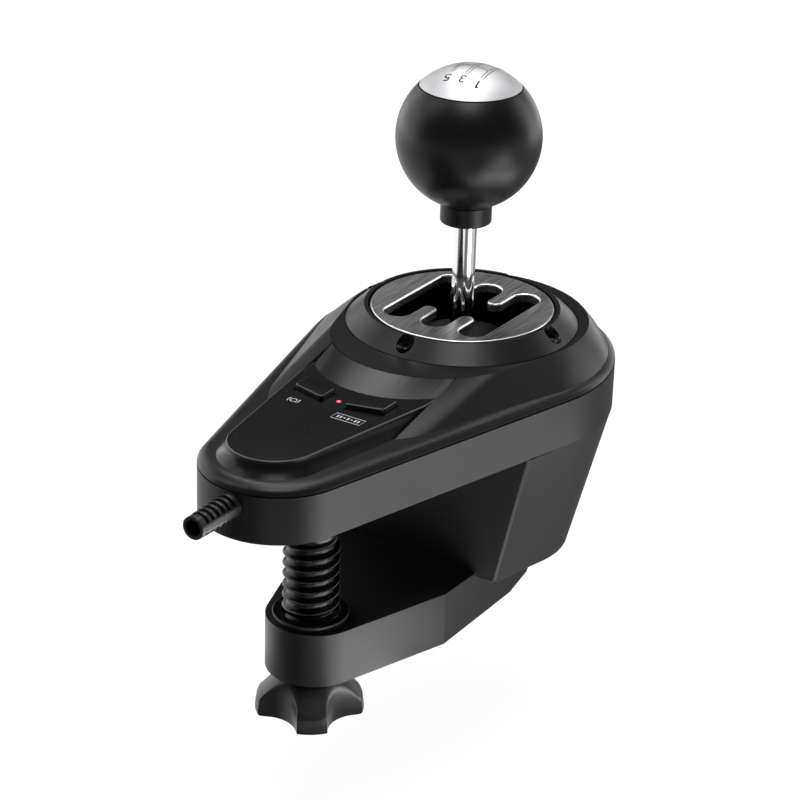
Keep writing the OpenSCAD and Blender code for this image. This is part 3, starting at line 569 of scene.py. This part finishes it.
def thread(z0, z1, steps=72, rings=16):
    """A right-hand thread with round crests and wide valleys, as rows of points along its helix; a
    strip along each crest takes a painted highlight.
    """
    pitch, core = THREAD_PITCH, THREAD_R - THREAD_DEPTH
    rows = math.ceil(rings * ((z1 - z0) / pitch + 1))
    verts, faces, crest_highlit = [], [], []
    for k in range(rows + rings + 1):
        wave = 0.5 + 0.5 * math.cos(2 * math.pi * k / rings)
        for i in range(steps):
            t = 2 * math.pi * i / steps
            z = min(z1, max(z0, z0 + pitch * (k / rings + i / steps - 1)))
            fade = max(0.0, min(1.0, (z - z0) / pitch, (z1 - z) / (0.5 * pitch)))
            r = THREAD_R - THREAD_DEPTH * (1 - wave ** 2.5 * fade)
            verts.append((r * math.cos(t), r * math.sin(t), z))
    for k in range(rows):
        for i in range(steps):
            a = k * steps + i
            b = a + 1 if i < steps - 1 else (k + rings) * steps
            face = (a, b, b + steps, a + steps)
            if len({verts[v][2] for v in face}) > 1:
                faces.append(face)
                # The rows at each crest take the painted highlight
                crest_highlit.append(k % rings in (rings - 1, 0))
    neck = [(core, z1), (8.6, z1 + 0.3), (9.2, z1 + 1)]
    end = [(9.2, SCREW_TOP - 0.4), (8.8, SCREW_TOP), (0, SCREW_TOP)]
    tip, sides = turned(neck + end, (0, 0), steps)
    faces += [tuple(i + len(verts) for i in face) for face in sides]
    mesh = build("clamp_screw_skin", verts + tip, faces, 50)
    for face, pale in zip(mesh.polygons, crest_highlit):
        face.material_index = int(pale)
    bm = bmesh.new()
    bm.from_mesh(mesh)
    bmesh.ops.remove_doubles(bm, verts=bm.verts, dist=0.001 * MM)
    bmesh.ops.delete(bm, geom=[v for v in bm.verts if not v.link_faces], context="VERTS")
    bmesh.ops.holes_fill(bm, edges=bm.edges, sides=0)
    bm.to_mesh(mesh)
    bm.free()
    return mesh


screw = thread(STAR_TOP, THREAD_TOP)
show_for("clamp_screw", "clamp_screw_skin", screw, looks["black_steel"], painted_crest_highlight)


# Gate: a brushed plate whose machined edges carry a painted highlight in a brighter metal, and socket
# screws in the ring


def plate_rim(m, d):
    return m.z > PLATE_Z - 0.1 and math.hypot(m.x, m.y - LEVER_Y) > PLATE_R - 0.5


def slot_edge(m, d):
    return m.z > PLATE_Z - 0.1 and math.hypot(m.x, m.y - LEVER_Y) < PLATE_R - 2


# The rim and slot edge strips take the lighter metal, a painted highlight
skin(
    "gate_plate", (0.45, plate_rim, 1), (0.6, slot_edge, 1),
    materials=(looks["gate_metal"], painted_gate_highlight),
)


def socket_screw(x, y, seat):
    """A round-headed screw with a hexagon socket, its head's seat at a height."""
    shank_r, shank, head_r, head, edge, socket_r, socket = 1.5, 6, 2.75, 2, 0.3, 1.25, 1.2
    n = 36
    verts, faces = turned([
        (0, seat - shank), (shank_r, seat - shank), (shank_r, seat), (head_r, seat),
        (head_r, seat + head - edge), (head_r - edge, seat + head),
    ], (x, y), n)
    top = len(verts)
    ring, bottom = top - n, top + n
    for z in (seat + head, seat + head - socket):
        for i in range(n):
            t = math.radians(10 * i)
            r = socket_r / max(math.cos(t - math.radians(60 * k)) for k in range(6))
            verts.append((x + r * math.cos(t), y + r * math.sin(t), z))
    for i in range(n):
        j = (i + 1) % n
        faces.append((ring + i, ring + j, top + j, top + i))
        faces.append((top + i, top + j, bottom + j, bottom + i))
    faces.append(tuple(range(bottom, bottom + n)))
    return verts, faces


verts, faces = [], []
for k in range(4):
    t = math.radians(90 * k)
    x, y = RING_SCREW_AT * math.cos(t), LEVER_Y + RING_SCREW_AT * math.sin(t)
    v, f = socket_screw(x, y, DOME_Z + 1)
    faces += [tuple(i + len(verts) for i in face) for face in f]
    verts += v
show_for("ring_screws", "ring_screws_skin", build("ring_screws_skin", verts, faces))


# Panel: a lit lens and plain printed marks

lens = [(0.75, PANEL_Z + 0.12), (0.4, PANEL_Z + 0.18), (0, PANEL_Z + 0.2)]
lens = turned([(0, BOARD_Z), (LED_R, BOARD_Z), (LED_R, PANEL_Z)] + lens, (0, LED_Y), 32)
show_for("light_pipe", "light_pipe_skin", build("light_pipe_skin", *lens))


def panel_top(x, y):
    return PANEL_Z + 0.03


def box(x0, y0, x1, y1):
    return [(x0, y0), (x1, y0), (x1, y1), (x0, y1)]


ring_at = (-12.6, 6.7)
ring_mark = [(arc(*ring_at, 1.15, 0, 345, 23), True)]
ring_mark += [(arc(*ring_at, 2.1, s - 40, s + 40, 10), False) for s in (0, 180)]
frame_mark = [(box(4.5, 3.1, 15.6, 7.0), True)]
bars = [([(x, 4.2), (x, 5.9)], False) for x in (6.1, 7.3, 10.05, 12.8, 14.0)]
bars += [([(x0, 5.05), (x1, 5.05)], False) for x0, x1 in ((8.3, 9.0), (11.1, 11.8))]
for name, lines, width in (
    ("panel_mark_left", ring_mark, 0.3), ("panel_mark_right", frame_mark, 0.28),
    ("panel_mark_bars", bars, 0.55),
):
    mark = ribbons(name, lines, width, panel_top)
    place(name, mark, "housing", "panel_plastic", print_white)


# Lever


axis = (0, LEVER_Y)
rim = math.degrees(math.asin((CAP_Z - KNOB_Z) / KNOB_R))
foot = -math.degrees(math.acos(KNOB_FOOT_R / KNOB_R))
knob = [(0, KNOB_FOOT_Z)] + arc(0, KNOB_Z, KNOB_R, foot, rim, 60) + [(0, CAP_Z)]
show_for("knob_body", "knob_body_skin", build("knob_body_skin", *turned(knob, axis)))
cap_r, cap_z = KNOB_R - 0.03, CAP_Z + 0.25
lip = cap_r * math.cos(math.radians(rim + 0.7)) - 0.3
cap = [(0, cap_z), (lip, cap_z)] + arc(0, KNOB_Z, cap_r, rim + 1.3, 90, 40)
show_for("knob_cap", "knob_cap_skin", build("knob_cap_skin", *turned(cap, axis), sharp=40))
rod = [(0, ROD_Z[0]), (ROD_R, ROD_Z[0]), (ROD_R, ROD_Z[1]), (0, ROD_Z[1])]
show_for("shift_rod", "shift_rod_skin", build("shift_rod_skin", *turned(rod, axis, 96)))


# Shift pattern on the cap: channel lines and plain digits

DIGITS = {
    "1": [[(-0.5, 0.85), (0.15, 1.25), (0.15, -1.25)]],
    "2": [arc(0, 0.55, 0.7, 170, -40, 8) + [(-0.75, -1.25), (0.8, -1.25)]],
    "3": [arc(0, 0.62, 0.62, 160, -90, 8) + arc(0, -0.62, 0.65, 90, -160, 8)],
    "4": [[(0.35, -1.25), (0.35, 1.25), (-0.8, -0.5), (0.85, -0.5)]],
    "5": [[(0.7, 1.25), (-0.55, 1.25), (-0.6, 0.2)] + arc(0, -0.45, 0.78, 125, -150, 10)],
    "6": [[(0.5, 1.25), (-0.5, 0.2)] + arc(0, -0.5, 0.75, 150, -210, 16)],
}
MARK_TURN = math.radians(6)
MARK_SHIFT = 1.3
MARK_PITCH = 5.6
MARK_END = 6.2
MARK_GAP = 0.5
DIGIT_Y = 9.3
DIGIT_SIZE = 1.25


def on_cap(x, y):
    return KNOB_Z + math.sqrt((KNOB_R - 0.01) ** 2 - x * x - (y - LEVER_Y) ** 2)


def turn_mark(line):
    """Cuts a line into short steps and turns it with the cap."""
    out = []
    for (x0, y0), (x1, y1) in zip(line, line[1:]):
        n = max(1, round(math.hypot(x1 - x0, y1 - y0) / 0.4))
        out += [(x0 + (x1 - x0) * i / n, y0 + (y1 - y0) * i / n) for i in range(n)]
    c, s = math.cos(MARK_TURN), math.sin(MARK_TURN)
    return [(MARK_SHIFT + x * c - y * s, LEVER_Y + x * s + y * c) for x, y in out + [line[-1]]]


marks, digits, p, g = [], [], MARK_PITCH, MARK_GAP
for s in (-1, 1):
    inner = [c * p + w * g for c, w in ((-1, 1), (0, -1), (0, 1), (1, -1))]
    marks += [[(x, s * MARK_END), (x, s * g)] for x in inner]
    marks += [[(c * (p + g), s * MARK_END), (c * (p + g), 0)] for c in (-1, 1)]
    marks += [[(c * p + g, s * g), (c * p + p - g, s * g)] for c in (-1, 0)]
for name, x, y in (("1", p, -1), ("3", 0, -1), ("5", -p, -1), ("2", p, 1), ("4", 0, 1), ("6", -p, 1)):
    for line in DIGITS[name]:
        digits.append([(x - DIGIT_SIZE * px, y * DIGIT_Y - DIGIT_SIZE * py) for px, py in line])
for name, lines, width in (("cap_lines", marks, 0.28), ("cap_digits", digits, 0.58)):
    mark = ribbons(name, [(turn_mark(line), False) for line in lines], width, on_cap)
    place(name, mark, "lever", "cap_metal", engraving)


# Every CAD node that is still shown takes its slot's look

for name, node in nodes.items():
    node.data.materials.clear()
    node.data.materials.append(looks[slot_of[name]])


# Floor, light and camera

# Flags on the floor: a sector in degrees, a reach in mm from the lever, and what is left of its white
FLAGS = (
    (-128, -82, 170, 900, 0.06),
    (-100, -66, 60, 170, 0.1),
    (-58, -29, 60, 900, 0.06),
    (-29, 50, 0, 900, 0.55),
    (50, 125, 0, 900, 0.1),
)
# Lamps round the object: azimuth and elevation in degrees, distance, width and height in m, watts
SOFT_BOXES = {
    "right": (60, 14, 1.0, 0.42, 0.8, 3.0),
    "rear": (90, 4, 1.0, 0.42, 0.42, 0.7),
    "left": (180, 14, 1.0, 1.2, 0.8, 5.9),
    "left_high": (210, 50, 1.0, 0.42, 0.42, 1.5),
    "top": (111, 84, 1.0, 0.8, 0.8, 3.4),
    "top_front": (300, 74, 1.0, 0.42, 0.42, 4),
    "top_rear": (120, 74, 1.0, 0.42, 0.42, 2.6),
    "rear_high": (90, 50, 1.0, 0.42, 0.42, 1.2),
    "ramp": (136, 50, 1.0, 0.22, 0.2, 1.2),
    "low_right": (0, -12, 0.42, 0.2, 0.1, 0.4),
}
# Lamps that lie flat at the object's foot: two corners in m, watts
FLOOR_LIGHTS = {
    "floor_near": (0.055, -0.06, 0.11, 0.05, 0.12),
    "floor_front": (0.135, -0.04, 0.26, 0.06, 0.27),
    "floor_rear": (0.155, 0.06, 0.26, 0.2, 0.26),
    "floor_star": (0.03, -0.02, 0.055, 0.03, 0.03),
    "floor_left": (-0.1, -0.06, -0.045, 0.02, 0.014),
}
LAMPS_AIM = Vector((0, 0.05, 0.02))
# The photo's camera: turn about the object, tilt and roll in degrees, then sizes in m and mm
CAMERA_TURN, CAMERA_TILT, CAMERA_ROLL = 32.3, 24.7, 1.7
CAMERA_AIM = Vector((-0.0067, 0.0625, 0.0059))
CAMERA_AWAY = 0.8992
CAMERA_LENS, CAMERA_SENSOR = 117, 36


def floor(white, diffuse):
    """A pale floor that the camera and mirrors see as white, with the object's shadow on it.

    It lies just under the lowest place that the clamp screw reaches, and in mirrors its flags
    make it darker.
    """
    g = Graph("floor")

    def sum_of(kind, a, b):
        node = g.add("ShaderNodeMath", operation=kind)
        for socket, value in zip(node.inputs, (a, b)):
            if isinstance(value, float):
                socket.default_value = value
            else:
                g.link(value, socket)
        return node.outputs[0]

    path = g.add("ShaderNodeLightPath").outputs
    at = g.add("ShaderNodeSeparateXYZ")
    g.link(g.add("ShaderNodeNewGeometry").outputs["Position"], at.inputs[0])
    across = at.outputs["X"]
    ahead = sum_of("SUBTRACT", at.outputs["Y"], LEVER_Y * MM)
    turn = sum_of("ARCTAN2", ahead, across)
    square = sum_of("ADD", sum_of("MULTIPLY", ahead, ahead), sum_of("MULTIPLY", across, across))
    reach = sum_of("POWER", square, 0.5)

    def outside(value, a, b, soft, level):
        """The level between a and b, and 1 past them, over a soft edge."""
        off = sum_of("ABSOLUTE", sum_of("SUBTRACT", value, (a + b) / 2), 0.0)
        return g.spread(off, level, 1.0, (b - a) / 2 - soft, (b - a) / 2 + soft)

    open_floor = 1.0
    for start, end, near, far, level in FLAGS:
        past_sector = outside(turn, math.radians(start), math.radians(end), 0.03, level)
        past_reach = outside(reach, near * MM, far * MM, 0.005, level)
        clear = sum_of("MAXIMUM", past_sector, past_reach)
        open_floor = sum_of("MULTIPLY", clear, open_floor)
    mirror = sum_of("MAXIMUM", path["Is Glossy Ray"], path["Is Transmission Ray"])
    seen = sum_of("MAXIMUM", path["Is Camera Ray"], sum_of("MULTIPLY", mirror, open_floor))
    glow = g.add("ShaderNodeEmission")
    g.link(sum_of("MULTIPLY", seen, white), glow.inputs["Strength"])
    shade = g.add("ShaderNodeBsdfDiffuse")
    shade.inputs["Color"].default_value = (diffuse, diffuse, diffuse, 1)
    both = g.add("ShaderNodeAddShader")
    g.link(shade.outputs[0], both.inputs[0])
    g.link(glow.outputs[0], both.inputs[1])
    g.link(both.outputs[0], g.out.inputs["Surface"])
    mesh = bpy.data.meshes.new("floor")
    level = cad_box[0].z - (CLAMP_TRAVEL + 0.5) * MM
    mesh.from_pydata([(x, y, level) for x, y in box(-20, -20, 20, 20)], [], [(0, 1, 2, 3)])
    mesh.materials.append(g.material)
    plane = bpy.data.objects.new("floor", mesh)
    scene.collection.objects.link(plane)


def lamp(name, at, away, width, height, power):
    """A soft box with its middle at a place in m that shines against the direction away."""
    data = bpy.data.lights.new(name, "AREA")
    data.shape = "RECTANGLE"
    data.size = width
    data.size_y = height
    data.energy = power
    light = bpy.data.objects.new(name, data)
    light.location = at
    light.rotation_mode = "QUATERNION"
    light.rotation_quaternion = (-away).to_track_quat("-Z", "Y")
    light.visible_camera = False
    scene.collection.objects.link(light)


def soft_box(name, azimuth, elevation, distance, width, height, power):
    """A lamp that looks at the object from a direction in degrees."""
    a, e = math.radians(azimuth), math.radians(elevation)
    away = Vector((math.cos(a) * math.cos(e), math.sin(a) * math.cos(e), math.sin(e)))
    lamp(name, LAMPS_AIM + away * distance, away, width, height, power)


def floor_light(name, x0, y0, x1, y1, power):
    """A lamp that lies flat at the object's foot and lights the walls from below."""
    at = Vector(((x0 + x1) / 2, (y0 + y1) / 2, cad_box[0].z + 0.0006))
    lamp(name, at, Vector((0, 0, -1)), x1 - x0, y1 - y0, power)


def world(level):
    shade = bpy.data.worlds.new("world")
    scene.world = shade
    shade.use_nodes = True
    back = shade.node_tree.nodes["Background"]
    back.inputs["Color"].default_value = (level, level, level, 1)


def camera():
    az, el, roll = (math.radians(a) for a in (CAMERA_TURN, CAMERA_TILT, CAMERA_ROLL))
    forward = Vector((-math.sin(az) * math.cos(el), math.cos(az) * math.cos(el), -math.sin(el)))
    right = Vector((math.cos(az), math.sin(az), 0))
    up = right.cross(forward)
    c, s = math.cos(roll), math.sin(roll)
    right, up = right * c + up * s, up * c - right * s
    data = bpy.data.cameras.new("camera")
    data.sensor_width = CAMERA_SENSOR
    data.lens = CAMERA_LENS
    eye = bpy.data.objects.new("camera", data)
    turn = Matrix((right, up, -forward)).transposed().to_4x4()
    eye.matrix_world = Matrix.Translation(CAMERA_AIM - forward * CAMERA_AWAY) @ turn
    scene.collection.objects.link(eye)
    scene.camera = eye


floor(0.91, 0.15)
world(0.02)
for name, values in SOFT_BOXES.items():
    soft_box(name, *values)
for name, values in FLOOR_LIGHTS.items():
    floor_light(name, *values)
camera()
scene.view_settings.view_transform = "Standard"
